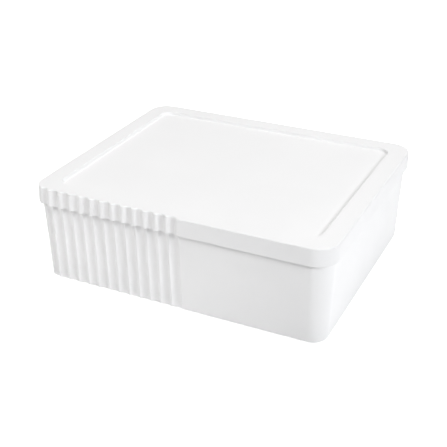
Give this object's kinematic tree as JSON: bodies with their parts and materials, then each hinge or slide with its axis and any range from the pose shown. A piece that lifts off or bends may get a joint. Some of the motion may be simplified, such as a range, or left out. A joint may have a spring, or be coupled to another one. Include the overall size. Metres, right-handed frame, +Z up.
{
  "type": "lidded storage box",
  "caption": "Low rectangular storage box of moulded plastic with rounded corners, a lift-off lid with a recessed top panel, and upright flutes on the left half of its front.",
  "frame": {"origin": "bottom centre of the closed box, on the face of its foot ring", "axes": "+X along the long front towards the viewer's right, +Y from the fluted front to the back, +Z up"},
  "size_m": [0.32, 0.267, 0.1067],
  "materials": {
    "body_plastic": "satin",
    "lid_plastic": "satin"
  },
  "bodies": {
    "box": {"box_body": "body_plastic"},
    "lid": {"lid": "lid_plastic"}
  },
  "joints": [
    {"name": "lid_lift", "type": "slide", "parent": "box", "child": "lid", "axis": [0, 0, 1], "range_m": [0, 0.12]}
  ]
}
